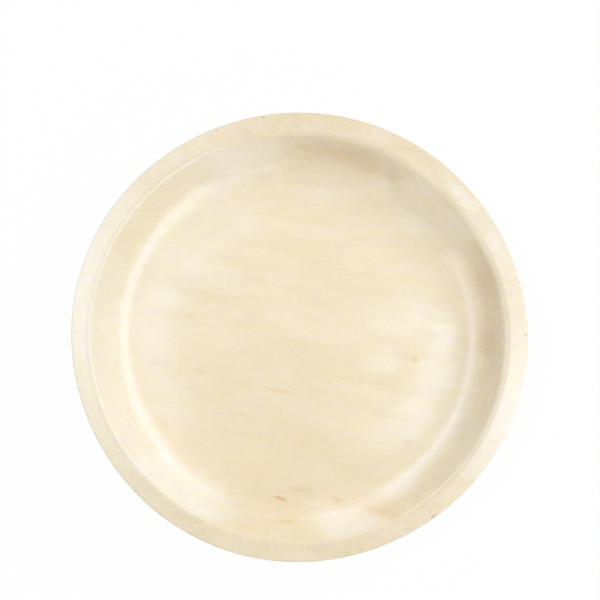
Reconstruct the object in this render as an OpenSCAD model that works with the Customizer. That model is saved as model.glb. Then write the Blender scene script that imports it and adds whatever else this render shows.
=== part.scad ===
// Round disposable plate pressed from one sheet of pale wood: a flat base,
// a curved wall and a flat lip, all of one thickness, one closed solid.
// Sizes are in millimetres. The underside of the base lies on z = 0, the lip
// is centred on the z axis, and directions are counted from the x axis.

/* [Outline] */
// Width of the plate along the grain
plate_width = 230; // [200:1:260]
// Direction in which the grain runs, in degrees
grain_direction = -7.7; // [-20:0.1:20]
// Share of the width lost across the grain as the sheet dries
cross_shrink = 0.016; // [0:0.001:0.03]
// Height of the four soft corners of the outline
corner_swell = 0.25; // [0:0.05:0.6]
// Direction of the first of the four soft corners, in degrees
corner_direction = 73; // [0:1:89]
// Height of the three soft waves of the outline
edge_wave = 0.15; // [0:0.05:0.4]
// Direction of the first of the three soft waves, in degrees
edge_wave_direction = 5; // [0:1:119]

/* [Sheet] */
// Height of the lip's upper face above the table
plate_height = 20; // [17:0.5:24]
// Thickness of the pressed sheet
sheet = 1.4; // [1.2:0.1:2]
// Radius that rounds both arrises of the cut edge
edge_round = 0.5; // [0.3:0.05:0.55]

/* [Lip] */
// Width of the lip along the grain, in to where the wall's slope would meet it
lip_width = 10.35; // [9:0.05:13]
// Fall of the lip from the bend to the cut edge
lip_fall = 0.3; // [0:0.05:0.6]
// Change of that fall between the ends and the sides of the sheet
lip_warp = 0.2; // [0:0.05:0.3]
// Direction in which the lip falls most, in degrees
lip_warp_direction = -8; // [-90:1:90]
// Height of the oval that the inner border of the lip follows
lip_oval = 0.35; // [0:0.05:0.6]
// Direction in which that oval is longest, in degrees
lip_oval_direction = -30; // [-90:1:89]
// Distance from the plate's centre to the dish's centre, along x and y
dish_offset = [-0.6, -0.5]; // [-1.5:0.1:1.5]

/* [Crease] */
// Height of the line pressed up along the middle of the bend
crease_height = 0.1; // [0:0.02:0.2]
// Half the width of the raised line
crease_half = 0.5; // [0.4:0.05:0.8]
// Depth of the groove just outside the raised line
groove_depth = 0.06; // [0:0.02:0.1]
// Distance from the raised line to the groove
groove_offset = 1.15; // [0.9:0.05:1.4]
// Middles of the stretches in which the raised line is missing, in degrees
fade_directions = [74, 257]; // [0:1:359]
// Half the angle that each of these stretches takes up, in degrees
fade_halves = [40, 10]; // [5:1:60]
// Soft border on each side of these stretches, in degrees
fade_border = 14; // [6:1:30]

/* [Wall] */
// Slope of the wall against the base, in degrees
wall_slope = 54; // [48:1:58]
// Degrees by which the wall is steeper than that on its steepest side
slope_change = 1.5; // [0:0.5:3]
// Radius of the hollow between base and wall
cove_radius = 14; // [10:0.5:16]
// Millimetres by which the hollow is wider than that on its widest side
cove_change = 2; // [0:0.5:4]
// Radius under the bend from wall to lip
shoulder_radius = 2.6; // [2.2:0.1:3.4]
// Millimetres by which that bend is wider than that on its widest side
shoulder_change = 1.4; // [0:0.1:1.6]
// Direction of the steepest wall, the widest hollow and the widest bend
uneven_direction = 10; // [0:5:355]
// Directions in which the pressed wall lies back, in degrees
lobe_directions = [43.5, 106.5, 257]; // [0:0.5:359]
// Half the angle that each of these places takes up, in degrees
lobe_halves = [14.5, 11, 16]; // [8:0.5:20]
// Soft border on each side of these places, in degrees
lobe_borders = [8, 12, 16]; // [4:1:16]
// Degrees by which the wall lies back there
lobe_leans = [10, 8, 5]; // [0:1:12]

/* [Resolution] */
// Steps around the plate
steps_around = 96; // [48:24:120]
// Steps in the hollow between base and wall
cove_steps = 5; // [3:1:6]
// Steps in the bend from wall to lip, on the upper face
shoulder_steps = 8; // [5:1:9]
// Steps in the bend from wall to lip, on the under face
inner_steps = 3; // [2:1:4]
// Steps in each round of the cut edge
edge_steps = 3; // [2:1:4]

/* [Hidden] */

soft_corners = 4;
soft_waves = 3;
outline_radius = plate_width / 2;
wood = [0.94, 0.89, 0.78];

// Angle from one direction to another, between minus and plus half a turn
function turn_between(a, b) = (a - b) - 360 * round((a - b) / 360);

// Value that rises evenly and softly from nought to one
function soft_step(x) =
    let (u = max(0, min(1, x)))
    u * u * (3 - 2 * u);

// Share of a lobe felt in direction a: one inside, soft at its borders
function lobe_share(a, i) =
    soft_step((lobe_halves[i] + lobe_borders[i] / 2
        - abs(turn_between(a, lobe_directions[i]))) / lobe_borders[i]);

// Slope of the wall in direction a
function slope_at(a) =
    wall_slope + slope_change * cos(a - uneven_direction)
    - max([
        for (i = [0 : len(lobe_directions) - 1])
            lobe_leans[i] * lobe_share(a, i)
    ]);

// Radius of the hollow in direction a
function cove_at(a) = cove_radius + cove_change * cos(a - uneven_direction);

// Radius under the bend in direction a
function shoulder_at(a) =
    shoulder_radius + shoulder_change * cos(a - uneven_direction);

// Radius in direction a at which the slope of the wall would meet the lip
function corner_radius(a) =
    outline_radius - lip_width
    + lip_oval * cos(2 * (a - lip_oval_direction));

// Height taken up by a hollow and a bend whose radii add up to c, at slope w
function curved_height(w, c) = c * (1 - cos(w));

// Length of the straight part of such a wall
function straight_length(w, c) =
    (plate_height - sheet - curved_height(w, c)) / sin(w);

// Radius of the cut edge in direction a
function edge_radius(a) =
    outline_radius
    + corner_swell * cos(soft_corners * (a - corner_direction))
    + edge_wave * cos(soft_waves * (a - edge_wave_direction));

// Fall of the cut edge below the bend in direction a
function fall_at(a) =
    lip_fall + lip_warp * cos(2 * (a - lip_warp_direction));

// Share of the raised line that is left in direction a
function crease_share(a) = min([
    for (i = [0 : len(fade_directions) - 1])
        soft_step((abs(turn_between(a, fade_directions[i])) - fade_halves[i])
            / fade_border)
]);

// Height that the raised line and the groove outside it add at distance d from
// the middle of the bend
function crease_rise(a, d) =
    crease_share(a) * (
        crease_height * exp(-pow(d / crease_half, 2))
        - groove_depth * exp(-pow((d - groove_offset) / crease_half, 2))
    );

// Section in direction a from the base's upper face round the cut edge to its
// under face. Each point holds its radius, its height and its share of the lip.
function section(a) =
    let (
        w = slope_at(a),
        cove = cove_at(a),
        shoulder = shoulder_at(a),
        bend = shoulder + sheet,
        corner = corner_radius(a),
        lip_start = corner + bend * tan(w / 2),
        base_end = lip_start - (cove + bend) * sin(w)
            - straight_length(w, cove + bend) * cos(w),
        edge = edge_radius(a),
        round_start = edge - edge_round,
        fall = fall_at(a),
        lip_share = function (r)
            max(0, (r - lip_start) / (edge - lip_start))
    )
    concat(
        [for (i = [0 : cove_steps])
            let (f = w * i / cove_steps)
            [
                base_end + cove * sin(f),
                sheet + cove * (1 - cos(f)),
                0
            ]
        ],
        [for (i = [0 : shoulder_steps])
            let (
                f = w * (1 - i / shoulder_steps),
                r = lip_start - bend * sin(f)
            )
            [
                r,
                plate_height - bend * (1 - cos(f)) + crease_rise(a, r - corner),
                0
            ]
        ],
        [
            let (
                r = lip_start + 2 * crease_half,
                k = lip_share(r)
            )
            [r, plate_height - fall * k + crease_rise(a, r - corner), k]
        ],
        [for (i = [0 : edge_steps])
            let (
                f = 90 * i / edge_steps,
                r = round_start + edge_round * sin(f),
                k = lip_share(r)
            )
            [
                r,
                plate_height - fall * k - edge_round * (1 - cos(f)),
                k
            ]
        ],
        [for (i = [0 : edge_steps])
            let (
                f = 90 * (1 - i / edge_steps),
                r = round_start + edge_round * sin(f),
                k = lip_share(r)
            )
            [
                r,
                plate_height - sheet - fall * k + edge_round * (1 - cos(f)),
                k
            ]
        ],
        [for (i = [0 : inner_steps])
            let (f = w * i / inner_steps)
            [
                lip_start - shoulder * sin(f),
                plate_height - bend + shoulder * cos(f),
                0
            ]
        ],
        [for (i = [0 : cove_steps])
            let (f = w * (1 - i / cove_steps))
            [
                base_end + (cove + sheet) * sin(f),
                sheet + cove - (cove + sheet) * cos(f),
                0
            ]
        ]
    );

// Point p of the flat plan after the sheet has shrunk across the grain
function dried(p) =
    let (across = [-sin(grain_direction), cos(grain_direction)])
    p - cross_shrink * (p * across) * across;

// Place of one section point in direction a
function placed(a, point) =
    let (plan = dried(point[0] * [cos(a), sin(a)])
        + dish_offset * (1 - point[2]))
    [plan[0], plan[1], point[1]];

// The pressed sheet: one section after another around the plate, closed by
// the two flat faces of the base.
module pressed_sheet() {
    rings = [for (j = [0 : steps_around - 1]) section(360 * j / steps_around)];
    count = len(rings[0]);
    last = count - 1;
    points = concat(
        [for (j = [0 : steps_around - 1])
            for (point = rings[j])
                placed(360 * j / steps_around, point)
        ],
        [[dish_offset[0], dish_offset[1], sheet]],
        [[dish_offset[0], dish_offset[1], 0]]
    );
    upper_middle = steps_around * count;
    under_middle = upper_middle + 1;
    skin = [for (j = [0 : steps_around - 1])
        let (
            here = j * count,
            next = ((j + 1) % steps_around) * count
        )
        for (i = [0 : last - 1])
            for (face = [
                [here + i, here + i + 1, next + i + 1],
                [here + i, next + i + 1, next + i]
            ])
                face
    ];
    middles = [for (j = [0 : steps_around - 1])
        let (
            here = j * count,
            next = ((j + 1) % steps_around) * count
        )
        for (face = [
            [upper_middle, here, next],
            [under_middle, next + last, here + last]
        ])
            face
    ];
    polyhedron(points = points, faces = concat(skin, middles), convexity = 4);
}

// The whole plate
module plate() {
    color(wood) pressed_sheet();
}

plate();
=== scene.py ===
"""Looks of the disposable wooden plate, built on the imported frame.

Lengths are in metres and angles in degrees, except where a comment says otherwise.
"""
import math

import bpy
import numpy as np
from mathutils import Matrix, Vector


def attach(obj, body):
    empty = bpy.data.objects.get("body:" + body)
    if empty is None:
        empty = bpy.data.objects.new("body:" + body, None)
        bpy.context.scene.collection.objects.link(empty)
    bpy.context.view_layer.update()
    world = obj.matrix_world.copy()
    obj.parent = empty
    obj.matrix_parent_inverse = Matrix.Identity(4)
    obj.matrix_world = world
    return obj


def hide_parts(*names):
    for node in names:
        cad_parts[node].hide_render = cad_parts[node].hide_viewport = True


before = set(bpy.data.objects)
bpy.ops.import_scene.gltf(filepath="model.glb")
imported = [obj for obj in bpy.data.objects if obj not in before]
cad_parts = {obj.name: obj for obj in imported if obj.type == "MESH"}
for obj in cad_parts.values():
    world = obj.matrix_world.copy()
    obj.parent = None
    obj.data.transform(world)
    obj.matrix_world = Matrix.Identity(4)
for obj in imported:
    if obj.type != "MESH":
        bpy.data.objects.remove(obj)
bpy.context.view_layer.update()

# Pressed form, with the same sizes as the part's source
OUTLINE_RADIUS = 0.115
GRAIN_DIRECTION = -7.7
CROSS_SHRINK = 0.016
CORNER_SWELL = 0.00025
CORNER_DIRECTION = 73
SOFT_CORNERS = 4
EDGE_WAVE = 0.00015
EDGE_WAVE_DIRECTION = 5
SOFT_WAVES = 3
PLATE_HEIGHT = 0.020
SHEET = 0.0014
EDGE_ROUND = 0.0005
LIP_WIDTH = 0.01035
LIP_FALL = 0.0003
LIP_WARP = 0.0002
LIP_WARP_DIRECTION = -8
LIP_OVAL = 0.00035
LIP_OVAL_DIRECTION = -30
DISH_OFFSET = np.array([-0.0006, -0.0005])
CREASE_HEIGHT = 0.0001
CREASE_HALF = 0.0005
GROOVE_DEPTH = 0.00006
GROOVE_OFFSET = 0.00115
WALL_SLOPE = 54
SLOPE_CHANGE = 1.5
COVE_RADIUS = 0.014
COVE_CHANGE = 0.002
SHOULDER_RADIUS = 0.0026
SHOULDER_CHANGE = 0.0014
UNEVEN_DIRECTION = 10
# Stretches in which the raised line is missing: middle and half the angle
FADES = ((74, 40), (257, 10))
FADE_BORDER = 14
# Places where the wall lies back: direction, half the angle, soft border and lean
LOBES = ((43.5, 14.5, 8, 10), (106.5, 11, 12, 8), (257, 16, 16, 5))

# Fineness of the mesh: steps around, then rows along each stretch of the section
STEPS_AROUND = 720
BASE_ROWS = 7
COVE_ROWS = 17
WALL_ROWS = 13
BEND_ROWS = 29
GROOVE_ROWS = 7
LIP_ROWS = 5
EDGE_ROWS = 8
UNDER_LIP_ROWS = 7
UNDER_BEND_ROWS = 9
UNDER_WALL_ROWS = 9
UNDER_COVE_ROWS = 13
UNDER_BASE_ROWS = 6
# Radius of the innermost row, round the middle of the base
CENTRE_RADIUS = 0.0006
# Share of the lip's width, counted from the bend, that takes the close rows of the groove
GROOVE_END = 0.18
# Side of the sheet that a row lies on
UPPER_SIDE = 0
UNDER_SIDE = 1
# Millimetres in a metre
MM = 1000


def turn_between(a, b):
    """Angle from b to a, between minus and plus half a turn."""
    return (a - b + 180) % 360 - 180


def soft_step(x):
    """Value that rises softly from nought to one."""
    u = np.clip(x, 0, 1)
    return u * u * (3 - 2 * u)


def slope_at(a):
    """Slope of the wall in direction a, in degrees."""
    lean = np.zeros_like(a)
    for direction, half, border, depth in LOBES:
        share = soft_step((half + border / 2 - abs(turn_between(a, direction))) / border)
        lean = np.maximum(lean, depth * share)
    return WALL_SLOPE + SLOPE_CHANGE * np.cos(np.radians(a - UNEVEN_DIRECTION)) - lean


def edge_radius(a):
    """Radius of the cut edge in direction a."""
    corners = CORNER_SWELL * np.cos(np.radians(SOFT_CORNERS * (a - CORNER_DIRECTION)))
    waves = EDGE_WAVE * np.cos(np.radians(SOFT_WAVES * (a - EDGE_WAVE_DIRECTION)))
    return OUTLINE_RADIUS + corners + waves


def fall_at(a):
    """Fall of the cut edge below the bend in direction a."""
    return LIP_FALL + LIP_WARP * np.cos(np.radians(2 * (a - LIP_WARP_DIRECTION)))


def lip_swell(a):
    """Swell of the oval that the inner border of the lip follows in direction a."""
    return LIP_OVAL * np.cos(np.radians(2 * (a - LIP_OVAL_DIRECTION)))


def crease_rise(a, d):
    """Height of the raised line and its groove at distance d from the middle of the bend."""
    share = np.ones_like(a)
    for direction, half in FADES:
        away = abs(turn_between(a, direction)) - half
        share = np.minimum(share, soft_step(away / FADE_BORDER))
    crease = CREASE_HEIGHT * np.exp(-(d / CREASE_HALF) ** 2)
    groove = GROOVE_DEPTH * np.exp(-((d - GROOVE_OFFSET) / CREASE_HALF) ** 2)
    return share * (crease - groove)


class Section:
    """Rows of the sheet's section in every direction, from one middle of the base to the other.

    Each row holds its radius, height, lip share, distance along the sheet and side.
    """

    def __init__(self, a):
        """Sizes of the section in the directions a."""
        self.a = a
        self.rows = []
        w = np.radians(slope_at(a))
        uneven = np.cos(np.radians(a - UNEVEN_DIRECTION))
        self.w = w
        self.cove = COVE_RADIUS + COVE_CHANGE * uneven
        self.shoulder = SHOULDER_RADIUS + SHOULDER_CHANGE * uneven
        self.bend = self.shoulder + SHEET
        self.corner = OUTLINE_RADIUS - LIP_WIDTH + lip_swell(a)
        self.lip_start = self.corner + self.bend * np.tan(w / 2)
        curved = self.cove + self.bend
        self.straight = (PLATE_HEIGHT - SHEET - curved * (1 - np.cos(w))) / np.sin(w)
        self.base_end = self.lip_start - curved * np.sin(w) - self.straight * np.cos(w)
        self.wall_along = self.base_end + self.cove * w
        self.bend_along = self.wall_along + self.straight
        self.lip_along = self.bend_along + self.bend * w
        self.edge = edge_radius(a)
        self.flat = self.edge - EDGE_ROUND - self.lip_start

    def add(self, radius, height, lip, along, side):
        """Add one row; every value may change with the direction."""
        values = (radius, height, lip, along, side)
        self.rows.append([np.broadcast_to(np.asarray(v, float), self.a.shape) for v in values])

    def base_row(self, t, height, side):
        """Row of the base, at share t of the way from its middle to its end."""
        r = CENTRE_RADIUS + (self.base_end - CENTRE_RADIUS) * t
        self.add(r, height, 0, r, side)

    def lip_row(self, d, rise, side):
        """Row of the lip at distance d beyond the bend."""
        k = d / (self.edge - self.lip_start)
        height = PLATE_HEIGHT - fall_at(self.a) * k + rise
        self.add(self.lip_start + d, height, k, self.lip_along + d, side)

    def round_off(self, t):
        """Distance beyond the bend and loss of thickness at share t of the edge's round."""
        f = math.pi / 2 * t
        return self.flat + EDGE_ROUND * math.sin(f), EDGE_ROUND * (1 - math.cos(f))

    def upper(self):
        """Upper face from the middle of the base out to the start of the cut edge."""
        w = self.w
        for t in np.linspace(0, 1, BASE_ROWS)[:-1]:
            self.base_row(t, SHEET, UPPER_SIDE)
        for t in np.linspace(0, 1, COVE_ROWS):
            f = w * t
            self.add(self.base_end + self.cove * np.sin(f), SHEET + self.cove * (1 - np.cos(f)),
                     0, self.base_end + self.cove * f, UPPER_SIDE)
        cove_end = self.base_end + self.cove * np.sin(w)
        cove_top = SHEET + self.cove * (1 - np.cos(w))
        for t in np.linspace(0, 1, WALL_ROWS)[1:-1]:
            d = self.straight * t
            r = cove_end + d * np.cos(w)
            rise = crease_rise(self.a, r - self.corner)
            self.add(r, cove_top + d * np.sin(w) + rise, 0, self.wall_along + d, UPPER_SIDE)
        for t in np.linspace(0, 1, BEND_ROWS):
            f = w * (1 - t)
            r = self.lip_start - self.bend * np.sin(f)
            rise = crease_rise(self.a, r - self.corner)
            self.add(r, PLATE_HEIGHT - self.bend * (1 - np.cos(f)) + rise,
                     0, self.bend_along + self.bend * (w - f), UPPER_SIDE)
        close = np.linspace(0, GROOVE_END, GROOVE_ROWS)[1:]
        wide = np.linspace(GROOVE_END, 1, LIP_ROWS)[1:]
        for t in (*close, *wide):
            d = self.flat * t
            self.lip_row(d, crease_rise(self.a, self.lip_start + d - self.corner), UPPER_SIDE)

    def cut_edge(self):
        """Rounded cut edge, from the upper face to the under face."""
        rounding = EDGE_ROUND / SHEET / 2
        for t in np.linspace(0, 1, EDGE_ROWS)[1:]:
            d, loss = self.round_off(t)
            self.lip_row(d, -loss, t * rounding)
        for t in np.linspace(1, 0, EDGE_ROWS):
            d, loss = self.round_off(t)
            self.lip_row(d, loss - SHEET, 1 - t * rounding)

    def under(self):
        """Under face from the cut edge back to the middle of the base."""
        w = self.w
        for t in np.linspace(1, 0, UNDER_LIP_ROWS)[1:-1]:
            self.lip_row(self.flat * t, -SHEET, UNDER_SIDE)
        for t in np.linspace(0, 1, UNDER_BEND_ROWS):
            f = w * t
            self.add(self.lip_start - self.shoulder * np.sin(f),
                     PLATE_HEIGHT - self.bend + self.shoulder * np.cos(f),
                     0, self.lip_along - self.bend * f, UNDER_SIDE)
        bend_end = self.lip_start - self.shoulder * np.sin(w)
        bend_foot = PLATE_HEIGHT - self.bend + self.shoulder * np.cos(w)
        for t in np.linspace(0, 1, UNDER_WALL_ROWS)[1:-1]:
            d = self.straight * t
            self.add(bend_end - d * np.cos(w), bend_foot - d * np.sin(w),
                     0, self.bend_along - d, UNDER_SIDE)
        outer = self.cove + SHEET
        for t in np.linspace(1, 0, UNDER_COVE_ROWS):
            f = w * t
            self.add(self.base_end + outer * np.sin(f), outer * (1 - np.cos(f)),
                     0, self.base_end + self.cove * f, UNDER_SIDE)
        for t in np.linspace(1, 0, UNDER_BASE_ROWS)[1:]:
            self.base_row(t, 0, UNDER_SIDE)


def skin_faces(count):
    """Faces between count rows of points, and from the first and last row to the two middles."""
    faces = []
    following = [(j + 1) % STEPS_AROUND for j in range(STEPS_AROUND)]
    for i in range(count - 1):
        here = i * STEPS_AROUND
        beyond = here + STEPS_AROUND
        for j, n in enumerate(following):
            faces.append((here + j, beyond + j, beyond + n, here + n))
    last = (count - 1) * STEPS_AROUND
    middle_upper = count * STEPS_AROUND
    middle_under = middle_upper + 1
    for j, n in enumerate(following):
        faces.append((middle_upper, j, n))
        faces.append((middle_under, last + n, last + j))
    return faces


def build_plate():
    """Fine mesh of the pressed sheet, with the flat sheet's own coordinates and the ring radius."""
    a = np.arange(STEPS_AROUND) * 360 / STEPS_AROUND
    section = Section(a)
    section.upper()
    section.cut_edge()
    section.under()
    radius, height, lip, along, side = np.array(section.rows).transpose(1, 0, 2)
    direction = np.stack([np.cos(np.radians(a)), np.sin(np.radians(a))], -1)
    grain = math.radians(GRAIN_DIRECTION)
    across = np.array([-math.sin(grain), math.cos(grain)])
    plan = radius[..., None] * direction
    plan = plan - CROSS_SHRINK * (plan @ across)[..., None] * across
    plan = plan + DISH_OFFSET * (1 - lip)[..., None]
    points = np.concatenate([plan, height[..., None]], -1).reshape(-1, 3)
    points = np.vstack([points, [*DISH_OFFSET, SHEET], [*DISH_OFFSET, 0]])
    flat = np.concatenate([along[..., None] * direction, side[..., None]], -1).reshape(-1, 3)
    flat = np.vstack([flat, [0, 0, UPPER_SIDE], [0, 0, UNDER_SIDE]])
    ring = np.append((radius - lip_swell(a)).ravel() * MM, [0, 0])

    mesh = bpy.data.meshes.new("pressed_sheet")
    mesh.from_pydata(points.tolist(), [], skin_faces(len(section.rows)))
    mesh.polygons.foreach_set("use_smooth", [True] * len(mesh.polygons))
    stored = mesh.attributes.new("sheet", "FLOAT_VECTOR", "POINT")
    stored.data.foreach_set("vector", flat.astype(np.float32).ravel())
    stored = mesh.attributes.new("ring", "FLOAT", "POINT")
    stored.data.foreach_set("value", ring.astype(np.float32))
    mesh.update()
    piece = bpy.data.objects.new("pressed_sheet", mesh)
    bpy.context.scene.collection.objects.link(piece)
    return piece


def srgb(red, green, blue):
    """Colour as it shows on a screen, turned into linear values."""
    def linear(c):
        c = c / 255
        return c / 12.92 if c <= 0.04045 else ((c + 0.055) / 1.055) ** 2.4
    return (linear(red), linear(green), linear(blue), 1)


class Graph:
    """Short calls that add nodes to a tree and link what they are given."""

    def __init__(self, tree):
        self.tree = tree

    def node(self, kind, inputs=None, **settings):
        """Add a node, with settings as attributes and inputs by name or number."""
        node = self.tree.nodes.new(kind)
        for name, value in settings.items():
            setattr(node, name, value)
        for key, value in (inputs or {}).items():
            socket = node.inputs[key]
            if isinstance(value, bpy.types.NodeSocket):
                self.tree.links.new(value, socket)
            else:
                socket.default_value = value
        return node

    def math(self, operation, first, second=0.0):
        """Operation on two values."""
        return self.node("ShaderNodeMath", {0: first, 1: second}, operation=operation).outputs[0]

    def add(self, first, second):
        """Sum of two values."""
        return self.math("ADD", first, second)

    def subtract(self, first, second):
        """First value less the second."""
        return self.math("SUBTRACT", first, second)

    def multiply(self, first, *others):
        """Product of two or more values."""
        for other in others:
            first = self.math("MULTIPLY", first, other)
        return first

    def vector(self, operation, first, second=(0, 0, 0)):
        """Vector that an operation on two vectors gives."""
        return self.node("ShaderNodeVectorMath", {0: first, 1: second},
                         operation=operation).outputs["Vector"]

    def lift(self, **parts):
        """Vector with the given parts, nought in the others."""
        return self.node("ShaderNodeCombineXYZ", parts).outputs[0]

    def place(self, vector, scale, turn=0.0, offset=(0, 0, 0)):
        """Vector moved by minus offset, turned by minus turn degrees and scaled."""
        moved = self.vector("SUBTRACT", vector, offset)
        turned = self.node("ShaderNodeVectorRotate",
                           {"Vector": moved, "Angle": -math.radians(turn)},
                           rotation_type="Z_AXIS").outputs[0]
        return self.vector("MULTIPLY", turned, scale)

    def noise(self, vector, detail, roughness=0.5):
        """Noise about one unit across."""
        return self.node("ShaderNodeTexNoise", {"Vector": vector, "Scale": 1.0, "Detail": detail,
                                                "Roughness": roughness}).outputs[0]

    def ramp(self, value, start, end, low=0.0, high=1.0):
        """Soft rise from low to high as value goes from start to end."""
        return self.node("ShaderNodeMapRange", {0: value, 1: start, 2: end, 3: low, 4: high},
                         interpolation_type="SMOOTHSTEP").outputs[0]

    def mix(self, factor, first, second, blend="MIX"):
        """Mix of two colours."""
        return self.node("ShaderNodeMix", {0: factor, 6: first, 7: second}, data_type="RGBA",
                         blend_type=blend).outputs[2]

    def mix_shaders(self, factor, first, second):
        """Mix of two shaders."""
        return self.node("ShaderNodeMixShader", {0: factor, 1: first, 2: second}).outputs[0]


# Colours of the wood; several stand for painted light and shade, as their comments say
BASE_TONE = srgb(238, 224, 192)
PALE_TONE = srgb(243, 231, 204)
WARM_TONE = srgb(233, 212, 172)
# painted light on the flatter wall facet
FACET_LIGHT_TONE = srgb(247, 235, 210)
# pale colour, mostly for painted sheen on the base, cove, wall and lip
SHEEN_TONE = srgb(253, 248, 236)
# painted highlight
PAINTED_HIGHLIGHT_TONE = srgb(254, 252, 246)
# painted sheen, paler and greyer
GREY_SHEEN_TONE = srgb(236, 231, 216)
SHADE_TONE = srgb(206, 186, 154)
MILKY_TONE = srgb(250, 243, 236)
# painted sheen on the lip
LIP_SHEEN_TONE = srgb(255, 250, 234)
# redder wood tone, lightened by painted light
RED_WOOD_AND_LIGHT_TONE = srgb(250, 229, 197)
# painted shade that dims the cove's painted highlight
COVE_SHADE_TONE = srgb(248, 228, 206)
# painted sheen on the base
BASE_SHEEN_TONE = srgb(246, 244, 235)
# yellower fringe of the painted sheen on the lip
LIP_SHEEN_FRINGE_TONE = srgb(250, 236, 198)
YELLOW_TINT = (1.0, 1.0, 0.92, 1)
LAVENDER_TINT = (1.0, 0.98, 1.04, 1)
EDGE_TONE = srgb(206, 186, 150)
ORANGE = srgb(216, 168, 98)
AMBER = srgb(230, 198, 138)
RUST = srgb(204, 164, 122)
BROWN = srgb(160, 116, 74)

# Marks in the wood, and one oval of painted sheen on the left of the base: place on the plate,
# length, width, turn, colour and strength
MARKS = (
    ((-0.0094, -0.0827), 0.0088, 0.0026, -19, ORANGE, 0.62),
    ((0.0008, -0.0780), 0.0150, 0.0040, -8, ORANGE, 0.20),
    ((-0.0058, -0.0940), 0.0105, 0.0026, -3, AMBER, 0.46),
    ((-0.0148, -0.0870), 0.0085, 0.0020, -14, AMBER, 0.22),
    ((0.0190, -0.0830), 0.0070, 0.0036, -20, ORANGE, 0.24),
    ((0.0395, -0.0879), 0.0220, 0.0050, -10, AMBER, 0.28),
    ((0.0482, -0.0903), 0.0090, 0.0036, -8, AMBER, 0.18),
    ((0.0402, -0.0855), 0.0340, 0.0130, -12, AMBER, 0.22),
    ((0.0578, -0.0805), 0.0070, 0.0024, -20, ORANGE, 0.13),
    ((0.0618, -0.0765), 0.0060, 0.0022, -20, ORANGE, 0.11),
    ((0.0676, -0.0903), 0.0046, 0.0020, 36, BROWN, 0.34),
    ((0.0563, -0.0951), 0.0090, 0.0030, 30, ORANGE, 0.12),
    ((-0.0112, -0.0276), 0.0200, 0.0034, -12, AMBER, 0.38),
    ((-0.0300, -0.0240), 0.0240, 0.0060, -12, AMBER, 0.12),
    ((-0.0752, -0.0130), 0.0100, 0.0026, -14, AMBER, 0.12),
    ((-0.0740, -0.0286), 0.0100, 0.0024, -16, AMBER, 0.12),
    ((-0.0525, -0.0179), 0.0130, 0.0036, -18, AMBER, 0.20),
    ((-0.0310, -0.0390), 0.0180, 0.0026, -15, BROWN, 0.05),
    ((0.0590, -0.0118), 0.0050, 0.0042, 0, AMBER, 0.36),
    ((-0.0097, -0.0014), 0.0018, 0.0014, 0, BROWN, 0.25),
    ((0.1142, 0.0011), 0.0028, 0.0020, -15, ORANGE, 0.45),
    ((-0.0183, 0.1109), 0.0012, 0.0010, 0, BROWN, 0.60),
    ((0.0868, 0.0472), 0.0090, 0.0050, -24, BROWN, 0.06),
    ((0.0815, 0.0492), 0.0070, 0.0034, 10, BROWN, 0.05),
    ((0.0955, 0.0290), 0.0260, 0.0140, -75, RUST, 0.20),
    ((0.0955, -0.0025), 0.0190, 0.0130, -85, RUST, 0.24),
    ((0.0895, 0.0445), 0.0120, 0.0080, -60, RUST, 0.12),
    ((0.0472, 0.0812), 0.0110, 0.0050, -30, RUST, 0.08),
    ((0.0370, 0.0868), 0.0560, 0.0110, -17, RUST, 0.14),
    ((0.1082, -0.0044), 0.0060, 0.0040, -70, AMBER, 0.14),
    ((0.1001, -0.0320), 0.0034, 0.0022, 40, AMBER, 0.14),
    ((0.1077, 0.0286), 0.0090, 0.0012, 5, BROWN, 0.14),
    ((-0.0418, 0.1044), 0.0022, 0.0011, 25, BROWN, 0.35),
    ((-0.0290, 0.0950), 0.0064, 0.0016, -20, AMBER, 0.22),
    ((-0.0430, 0.0634), 0.0034, 0.0018, -10, AMBER, 0.18),
    ((-0.0570, 0.0540), 0.0028, 0.0020, 0, AMBER, 0.14),
    ((0.0630, 0.0225), 0.0150, 0.0012, -20, BROWN, 0.06),
    ((-0.0745, -0.0692), 0.0064, 0.0013, 5, AMBER, 0.24),
    ((-0.0737, -0.0560), 0.0140, 0.0016, -10, AMBER, 0.12),
    ((0.0430, -0.0890), 0.0190, 0.0016, -16, AMBER, 0.10),
    # painted sheen on the left of the base
    ((-0.0680, 0.0195), 0.0360, 0.0110, -4, SHEEN_TONE, 0.30),
    ((-0.0142, 0.0102), 0.0110, 0.0018, -14, SHEEN_TONE, 0.30),
)
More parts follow.
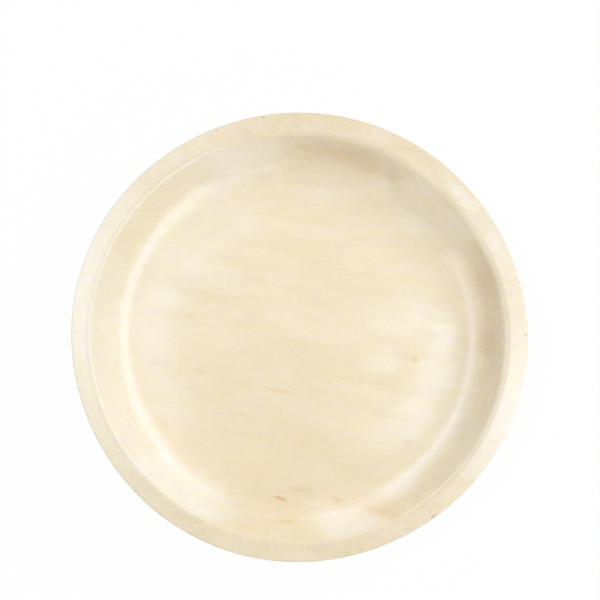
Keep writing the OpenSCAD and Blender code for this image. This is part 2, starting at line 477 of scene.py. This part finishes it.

# Zones with painted light and shade: painted highlights and sheen on the cove, wall, raised line
# and lip, painted shade on the walls, at the foot of the cove and in the groove, and some of the
# wood's own
# tone. Columns: direction, half the angle, soft border, inner and outer radius in millimetres, soft
# radius in millimetres, colour and strength
PAINTED_LIGHT_AND_TONE_ZONES = (
    (250, 40, 40, 24, 82, 16, SHADE_TONE, 0.10),
    (335, 24, 28, 62, 80, 12, SHEEN_TONE, 0.46),
    # painted sheen on the left of the base, towards the cove
    (182, 38, 24, 66, 85, 12, BASE_SHEEN_TONE, 0.32),
    (195, 50, 30, 88, 104.6, 6, GREY_SHEEN_TONE, 0.42),
    # painted shade at the foot of the cove
    (292, 12, 12, 82, 93, 4, WARM_TONE, 0.25),
    (15, 22, 14, 79, 87, 5, WARM_TONE, 0.38),
    (345, 64, 30, 80, 104, 5, SHEEN_TONE, 0.16),
    (345, 22, 30, 86, 105, 6, SHEEN_TONE, 0.22),
    (345, 50, 30, 89, 94, 5, SHEEN_TONE, 0.24),
    # painted highlight along the right of the cove
    (341, 44, 20, 87.6, 91.4, 2.4, SHEEN_TONE, 0.58),
    (346, 10, 14, 86.5, 90.5, 3, SHEEN_TONE, 0.28),
    (300, 10, 12, 90, 97, 4, SHEEN_TONE, 0.50),
    (196, 30, 34, 92, 104.6, 6, PAINTED_HIGHLIGHT_TONE, 0.18),
    # painted highlight along the left of the cove, dimmed by painted shade
    (172, 50, 18, 87, 91, 2.4, PAINTED_HIGHLIGHT_TONE, 0.36),
    (172, 48, 24, 85.8, 91.5, 5, PAINTED_HIGHLIGHT_TONE, 0.26),
    (192, 36, 24, 85.6, 90.2, 3, COVE_SHADE_TONE, 0.28),
    # painted shade over the whole cove
    (0, 200, 1, 80, 93, 6, SHADE_TONE, 0.04),
    (131, 22, 14, 60, 90, 10, SHEEN_TONE, 0.26),
    # painted light on the left of the base
    (138, 38, 14, 68, 84, 8, PALE_TONE, 0.38),
    (122, 14, 12, 84, 104.6, 4, SHEEN_TONE, 0.28),
    (108, 12, 12, 88, 104, 4, SHEEN_TONE, 0.44),
    (286, 8, 8, 92, 104, 4, SHEEN_TONE, 0.58),
    (232, 15, 12, 90, 104.5, 5, PAINTED_HIGHLIGHT_TONE, 0.50),
    (257, 13, 12, 84, 106, 10, SHADE_TONE, 0.11),
    (76, 14, 10, 92, 104, 4, SHADE_TONE, 0.14),
    (79, 12, 8, 98, 103, 3, SHADE_TONE, 0.16),
    # redder tone of the right wall, lightened by painted light
    (2, 26, 12, 88, 104, 6, RED_WOOD_AND_LIGHT_TONE, 0.42),
    # painted light on the flatter wall facet
    (44, 20, 14, 87, 105, 12, FACET_LIGHT_TONE, 0.85),
    (0, 200, 1, 105.4, 120, 1.6, SHADE_TONE, 0.09),
    (76, 34, 30, 105.4, 120, 2, SHADE_TONE, 0.15),
    (120, 9, 14, 105.4, 120, 2, SHEEN_TONE, 0.24),
    (24, 16, 16, 106, 120, 2, GREY_SHEEN_TONE, 0.36),
    (295, 16, 18, 106, 120, 2, SHADE_TONE, 0.10),
    # painted sheen on the right of the lip
    (342, 14, 36, 106.4, 120, 2.4, PAINTED_HIGHLIGHT_TONE, 0.64),
    (344, 12, 14, 104.6, 106.4, 1.6, SHEEN_TONE, 0.26),
    (12, 22, 14, 103.3, 105.8, 1.2, SHEEN_TONE, 0.22),
    (0, 12, 14, 96, 102, 4, SHADE_TONE, 0.10),
    (350, 34, 50, 107, 120, 2.4, SHEEN_TONE, 0.24),
    # painted sheen on the left of the lip
    (175, 33, 56, 105.4, 120, 1.6, LIP_SHEEN_TONE, 0.96),
    (200, 14, 16, 105.4, 120, 1.6, LIP_SHEEN_FRINGE_TONE, 0.26),
    # painted highlight on the raised line, and painted shade in the groove beyond it
    (170, 56, 14, 104.2, 105.1, 0.5, PAINTED_HIGHLIGHT_TONE, 0.45),
    (165, 50, 14, 106.0, 106.8, 0.6, SHADE_TONE, 0.22),
    (328, 32, 14, 103.9, 104.8, 0.5, SHEEN_TONE, 0.48),
    (334, 50, 14, 104.8, 105.7, 0.8, SHADE_TONE, 0.09),
)

# Paler and greyer places: painted sheen where the base and cove catch the light, a darker warm
# stretch of the wood's own tone, and the lip's own milky blotches. Columns: centre, half sizes,
# turn, colour and strength
SHEEN_AND_BLOTCH_PATCHES = (
    # painted sheen on the base and cove
    ((0.0608, -0.0382), 0.0085, 0.0110, 25, SHEEN_TONE, 0.34),
    ((0.0705, -0.0205), 0.0120, 0.0140, 0, SHEEN_TONE, 0.32),
    ((0.0740, 0.0005), 0.0090, 0.0120, 0, SHEEN_TONE, 0.68),
    ((0.0640, 0.0105), 0.0140, 0.0120, 0, SHEEN_TONE, 0.42),
    ((0.0440, -0.0120), 0.0140, 0.0090, 0, SHEEN_TONE, 0.38),
    ((-0.0400, 0.0110), 0.0200, 0.0090, -8, SHEEN_TONE, 0.18),
    ((0.0520, 0.0120), 0.0200, 0.0130, 10, SHEEN_TONE, 0.30),
    ((0.0190, 0.0740), 0.0220, 0.0100, -10, SHEEN_TONE, 0.20),
    ((0.0150, -0.0930), 0.0150, 0.0070, 6, SHEEN_TONE, 0.45),
    # darker warm stretch of the wood's own tone
    ((-0.0180, -0.0560), 0.0520, 0.0230, -8, WARM_TONE, 0.25),
    ((-0.0740, 0.0140), 0.0200, 0.0220, 10, SHEEN_TONE, 0.26),
    ((-0.0480, 0.0300), 0.0240, 0.0120, -8, SHEEN_TONE, 0.24),
    # the lip's own milky blotches
    ((0.0825, 0.0711), 0.0140, 0.0045, -49, MILKY_TONE, 0.50),
    ((0.0986, 0.0465), 0.0070, 0.0036, -65, MILKY_TONE, 0.30),
    ((0.0406, 0.1019), 0.0080, 0.0050, -20, MILKY_TONE, 0.18),
    ((0.0600, 0.0580), 0.0110, 0.0070, -20, MILKY_TONE, 0.20),
    ((0.0640, 0.0765), 0.0090, 0.0050, -40, MILKY_TONE, 0.18),
    ((0.0790, 0.0590), 0.0070, 0.0060, -40, MILKY_TONE, 0.18),
    ((0.0930, 0.0200), 0.0050, 0.0080, 0, MILKY_TONE, 0.14),
)

# Noise of the wood: length along the grain and width across it in millimetres, detail, roughness
FIELDS = {
    "patches": (56, 26, 2, 0.5),
    "bands": (38, 6.5, 3, 0.55),
    "blotches": (10, 8, 4, 0.62),
    "streaks": (14, 1.6, 3, 0.6),
    "fibres": (4, 0.5, 2, 0.6),
    "mottle": (4.2, 3.2, 3, 0.65),
    "grit": (1.1, 0.9, 2, 0.7),
    "tints": (11, 6.5, 3, 0.55),
    "flecks": (6.5, 1.1, 2, 0.5),
}
NOISE_MIDDLE = 0.5
# Distance in the noise between the sheet's two faces
SIDE_STEP = 40
# Slow bend of the grain: length, width and reach in millimetres
DRIFT_LENGTH = 90
DRIFT_WIDTH = 60
DRIFT_REACH = 9
DRIFT_DETAIL = 1

# Start and end of soft borders, counted through the sheet's edge from nought on the upper face to
# one on the under face
UPPER_BORDER = (0.35, 0.15)
RIM_BORDER = (0.12, 0.3)
UNDER_BORDER = (0.88, 0.7)

# Ranges of the noise over which its colour comes in, and its strength
PALE_RANGE = (0.30, 0.70)
BAND_RANGE = (0.45, 0.75)
BAND_STRENGTH = 0.31
YELLOW_RANGE = (0.42, 0.66, 0.0, 0.6)
LAVENDER_RANGE = (0.58, 0.34, 0.0, 0.6)
RIM_STRENGTH = 0.7

# How far noise frays the borders of zones, in degrees and millimetres, and of spots, in radii
FRAY = 2.2
ZONE_FRAY_LIMIT = 9
ZONE_SHARP_BORDER = 3
SPOT_FRAY = 1.2
SPOT_BORDER = (1.15, 0.25)

# Fine texture: strength of each noise, and its gain over the wall and over the lip, each from one
# radius to another in millimetres
TEXTURE = {"streaks": 0.035, "fibres": 0.055, "mottle": 0.075, "grit": 0.115}
WALL_GAIN = (83, 90, 1.0, 1.2)
LIP_GAIN = (104, 107, 1.0, 1.3)
WALL_START = (82, 90)
BLOTCH_STRENGTH = 0.045
FLECK_RANGE = (0.60, 0.74)
FLECK_STRENGTH = -0.03

# Fine strokes that run outwards: how many, their change over the radius, their noise, the zone in
# which they show most and their strength there and elsewhere
STROKES = 95
STROKE_CHANGE = 0.09
STROKE_DETAIL = 3
STROKE_ROUGHNESS = 0.65
STROKE_ZONE = (262, 26, 16, 105.4, 120, 2)
STROKE_STRENGTH = 0.15
STROKE_LEAST = 0.02

# Relief and sheen: the bend is duller and the outer lip is smoother, from one radius to another in
# millimetres
FIBRE_SHARE = 0.5
STREAK_SHARE = 0.5
RELIEF_DEPTH = 0.00006
RELIEF_STRENGTH = 0.6
ROUGHNESS = 0.4
ROUGHNESS_CHANGE = 0.2
DULL_BEND = (100, 104)
DULL_STRENGTH = 0.2
SMOOTH_LIP = (107, 110)
SMOOTH_STRENGTH = 0.12
WOOD_IOR = 1.45


class Wood:
    """Nodes of the pressed wood, whose noise follows the grain of the flat sheet in millimetres."""

    def __init__(self, g):
        self.g = g
        stored = g.node("ShaderNodeAttribute", attribute_name="sheet").outputs["Vector"]
        self.sheet = g.vector("MULTIPLY", stored, (MM, MM, SIDE_STEP))
        self.fields = self.noise_fields()
        self.breakup = g.multiply(self.centred("blotches"), FRAY)
        self.plan = g.node("ShaderNodeTexCoord").outputs["Object"]
        local = g.vector("SUBTRACT", self.plan, (*DISH_OFFSET, 0))
        parts = g.node("ShaderNodeSeparateXYZ", {0: local})
        self.east, self.north = parts.outputs[0], parts.outputs[1]
        self.turn = g.multiply(g.math("ARCTAN2", self.north, self.east), 180 / math.pi)
        self.radius = g.node("ShaderNodeAttribute", attribute_name="ring").outputs["Fac"]
        depth = g.node("ShaderNodeSeparateXYZ", {0: self.sheet}).outputs[2]
        side = g.math("DIVIDE", depth, SIDE_STEP)
        self.upper = g.ramp(side, *UPPER_BORDER)
        self.rim = g.multiply(g.ramp(side, *RIM_BORDER), g.ramp(side, *UNDER_BORDER))

    def noise_fields(self):
        """Noise fields along the grain, which bends slowly."""
        g = self.g
        slow = g.place(self.sheet, (1 / DRIFT_LENGTH, 1 / DRIFT_WIDTH, 1))
        bent = g.subtract(g.noise(slow, DRIFT_DETAIL), NOISE_MIDDLE)
        along = g.vector("ADD", self.sheet, g.lift(Y=g.multiply(bent, DRIFT_REACH)))
        fields = {}
        for name, (length, width, detail, roughness) in FIELDS.items():
            scaled = g.place(along, (1 / length, 1 / width, 1), GRAIN_DIRECTION)
            fields[name] = g.noise(scaled, detail, roughness)
        return fields

    def centred(self, name):
        """Noise field about nought."""
        return self.g.subtract(self.fields[name], NOISE_MIDDLE)

    def zone(self, direction, half, border, inner, outer, soft):
        """Share of a zone around the plate, used for painted light and shade and for the strokes:
        one inside, fading to nought over soft, frayed borders.
        """
        g = self.g
        off = g.node("ShaderNodeMath", {0: g.subtract(self.turn, direction), 1: 180.0, 2: -180.0},
                     operation="WRAP").outputs[0]
        fray = g.multiply(self.breakup, min(border, ZONE_FRAY_LIMIT))
        away = g.add(g.math("ABSOLUTE", off), fray)
        share = g.ramp(away, half + border / 2, half - border / 2)
        fray = g.multiply(self.breakup, max(soft - ZONE_SHARP_BORDER, 0))
        away = g.add(self.radius, fray)
        share = g.multiply(share, g.ramp(away, inner - soft / 2, inner + soft / 2))
        return g.multiply(share, g.ramp(away, outer + soft / 2, outer - soft / 2))

    def spot(self, centre, half_length, half_width, angle, breakup):
        """Share of a soft oval: one at its centre, fading to nought over a frayed border."""
        g = self.g
        local = g.place(self.plan, (1 / half_length, 1 / half_width, 0), angle, (*centre, 0))
        reach = g.node("ShaderNodeVectorMath", {0: local}, operation="LENGTH").outputs["Value"]
        return g.ramp(g.add(reach, g.multiply(self.centred(breakup), SPOT_FRAY)), *SPOT_BORDER)

    def spotted(self, colour, spots, share_of_size, breakup):
        """Colour with soft ovals on the upper face; half sizes are a share of the sizes given."""
        g = self.g
        for centre, length, width, angle, tone, strength in spots:
            half_sizes = (length * share_of_size, width * share_of_size)
            share = self.spot(centre, *half_sizes, angle, breakup)
            colour = g.mix(g.multiply(share, self.upper, strength), colour, tone)
        return colour

    def texture(self):
        """Brightness of the fine texture, about one."""
        g = self.g
        texture = 0.0
        for name, strength in TEXTURE.items():
            texture = g.add(texture, g.multiply(self.centred(name), strength))
        wall_gain = g.ramp(self.radius, *WALL_GAIN)
        texture = g.multiply(texture, wall_gain, g.ramp(self.radius, *LIP_GAIN))
        pressed = g.multiply(g.ramp(self.radius, *WALL_START), self.upper)
        blotches = g.multiply(self.breakup, pressed, BLOTCH_STRENGTH)
        flecks = g.multiply(g.ramp(self.fields["flecks"], *FLECK_RANGE), FLECK_STRENGTH)
        return g.add(g.add(g.add(1.0, blotches), texture), flecks)

    def strokes(self):
        """Change of brightness by fine strokes outwards, mostly on one stretch of the lip."""
        g = self.g
        outwards = g.vector("NORMALIZE", g.lift(X=self.east, Y=self.north))
        around = g.vector("MULTIPLY", outwards, (STROKES, STROKES, 0))
        place = g.vector("ADD", around, g.lift(Z=g.multiply(self.radius, STROKE_CHANGE)))
        noise = g.subtract(g.noise(place, STROKE_DETAIL, STROKE_ROUGHNESS), NOISE_MIDDLE)
        strength = g.add(g.multiply(self.zone(*STROKE_ZONE), STROKE_STRENGTH), STROKE_LEAST)
        return g.multiply(noise, g.multiply(self.upper, strength))

    def colour(self):
        """Colour of the wood with painted light and shade from its zones and patches, and its own
        texture, tints, marks and cut edge.
        """
        g, fields = self.g, self.fields
        colour = g.mix(g.ramp(fields["patches"], *PALE_RANGE), PALE_TONE, BASE_TONE)
        bands = g.multiply(g.ramp(fields["bands"], *BAND_RANGE), BAND_STRENGTH)
        colour = g.mix(bands, colour, WARM_TONE)
        # Painted highlights, sheen and shade, with some of the wood's own tone, zone by zone
        for *shape, tone, strength in PAINTED_LIGHT_AND_TONE_ZONES:
            share = g.multiply(self.zone(*shape), g.multiply(self.upper, strength))
            colour = g.mix(share, colour, tone)
        # Painted sheen on the base and cove, and the wood's own blotches
        colour = self.spotted(colour, SHEEN_AND_BLOTCH_PATCHES, 1, "bands")
        value = g.add(self.texture(), self.strokes())
        colour = g.node("ShaderNodeHueSaturation", {
            "Value": value,
            "Saturation": g.subtract(2.0, value),
            "Color": colour,
        }).outputs[0]
        colour = g.mix(g.ramp(fields["tints"], *YELLOW_RANGE), colour, YELLOW_TINT, "MULTIPLY")
        colour = g.mix(g.ramp(fields["tints"], *LAVENDER_RANGE), colour, LAVENDER_TINT, "MULTIPLY")
        colour = self.spotted(colour, MARKS, 1 / 2, "fibres")
        return g.mix(g.multiply(self.rim, RIM_STRENGTH), colour, EDGE_TONE)

    def relief(self):
        """Normal bent by the fibres and streaks of the grain."""
        g = self.g
        height = g.add(g.multiply(self.fields["fibres"], FIBRE_SHARE),
                       g.multiply(self.fields["streaks"], STREAK_SHARE))
        return g.node("ShaderNodeBump", {"Height": height, "Distance": RELIEF_DEPTH,
                                         "Strength": RELIEF_STRENGTH}).outputs[0]

    def roughness(self):
        """Roughness that changes with the grain and over the bend and the lip."""
        g = self.g
        rough = g.add(ROUGHNESS, g.multiply(self.centred("bands"), ROUGHNESS_CHANGE))
        rough = g.add(rough, g.multiply(g.ramp(self.radius, *DULL_BEND), DULL_STRENGTH))
        return g.subtract(rough, g.multiply(g.ramp(self.radius, *SMOOTH_LIP), SMOOTH_STRENGTH))


def new_graph(owner):
    """Graph of a material or world, without the nodes that it starts with."""
    owner.use_nodes = True
    owner.node_tree.nodes.clear()
    return Graph(owner.node_tree)


def wood_material():
    """Pale pressed wood with a slight sheen, and light and shade painted into its colour."""
    material = bpy.data.materials.new("pressed_wood")
    g = new_graph(material)
    wood = Wood(g)
    shader = g.node("ShaderNodeBsdfPrincipled", {
        "Base Color": wood.colour(),
        "Roughness": wood.roughness(),
        "Normal": wood.relief(),
        "IOR": WOOD_IOR,
    })
    g.node("ShaderNodeOutputMaterial", {"Surface": shader.outputs[0]})
    return material


# Stage, seen from straight above
FLOOR_SIZE = 3.0
FLOOR_DROP = 0.0002
FLOOR_WHITE = 0.97
FLOOR_TONE = (0.9, 0.9, 0.9, 1)
WHITE = (1, 1, 1, 1)
ROOM_LEVEL = 0.22
CAMERA_HEIGHT = 1.42
CAMERA_PLACE = (0.00036, 0.01875)
SENSOR = 36.0
VIEW_WIDTH = 0.3023

# Soft boxes: direction they come from, elevation and power
LAMPS = (
    (0, 60, 4.76),
    (160, 60, 3.62),
    (40, 25, 4.15),
    (300, 25, 2.9),
    (120, 25, 1.8),
)
LAMP_DISTANCE = 1.2
LAMP_SIZE = 0.35


def backdrop_share(g):
    """One for camera, glossy and transmitted rays, which see the white backdrop, else nought."""
    path = g.node("ShaderNodeLightPath")
    seen = g.math("MAXIMUM", path.outputs["Is Camera Ray"], path.outputs["Is Glossy Ray"])
    return g.math("MAXIMUM", seen, path.outputs["Is Transmission Ray"])


def build_floor():
    """White floor, a hair below the plate so that no two faces lie in one plane."""
    mesh = bpy.data.meshes.new("floor")
    half = FLOOR_SIZE / 2
    corners = [(x * half, y * half, -FLOOR_DROP) for x, y in ((-1, -1), (1, -1), (1, 1), (-1, 1))]
    mesh.from_pydata(corners, [], [(0, 1, 2, 3)])
    floor = bpy.data.objects.new("floor", mesh)
    bpy.context.scene.collection.objects.link(floor)
    material = bpy.data.materials.new("floor_white")
    g = new_graph(material)
    matt = g.node("ShaderNodeBsdfDiffuse", {"Color": FLOOR_TONE}).outputs[0]
    white = g.node("ShaderNodeEmission", {"Color": WHITE, "Strength": 1.0}).outputs[0]
    shown = g.mix_shaders(g.multiply(backdrop_share(g), FLOOR_WHITE), matt, white)
    g.node("ShaderNodeOutputMaterial", {"Surface": shown})
    mesh.materials.append(material)


def build_world():
    """Even pale room light."""
    world = bpy.data.worlds.new("room")
    g = new_graph(world)
    room = g.node("ShaderNodeBackground", {"Color": WHITE, "Strength": ROOM_LEVEL}).outputs[0]
    white = g.node("ShaderNodeBackground", {"Color": WHITE, "Strength": 1.0}).outputs[0]
    shown = g.mix_shaders(backdrop_share(g), room, white)
    g.node("ShaderNodeOutputWorld", {"Surface": shown})
    bpy.context.scene.world = world


def build_lamp(name, direction, elevation, power):
    """Square soft box that faces the plate."""
    light = bpy.data.lights.new(name, "AREA")
    light.shape = "SQUARE"
    light.size = LAMP_SIZE
    light.energy = power
    lamp = bpy.data.objects.new(name, light)
    a, e = math.radians(direction), math.radians(elevation)
    aim = Vector((math.cos(a) * math.cos(e), math.sin(a) * math.cos(e), math.sin(e)))
    lamp.location = aim * LAMP_DISTANCE
    lamp.rotation_euler = aim.to_track_quat("Z", "Y").to_euler()
    bpy.context.scene.collection.objects.link(lamp)


def build_camera():
    """Camera straight above the plate."""
    data = bpy.data.cameras.new("camera")
    data.sensor_width = SENSOR
    data.lens = SENSOR * (CAMERA_HEIGHT - PLATE_HEIGHT) / VIEW_WIDTH
    camera = bpy.data.objects.new("camera", data)
    camera.location = (*CAMERA_PLACE, CAMERA_HEIGHT)
    bpy.context.scene.collection.objects.link(camera)
    bpy.context.scene.camera = camera


build_camera()
build_floor()
build_world()
for number, lamp in enumerate(LAMPS):
    build_lamp(f"soft_box_{number + 1}", *lamp)

plate = build_plate()
plate.data.materials.append(wood_material())
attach(plate, "root")
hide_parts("plate")

bpy.context.scene.view_settings.view_transform = "Standard"
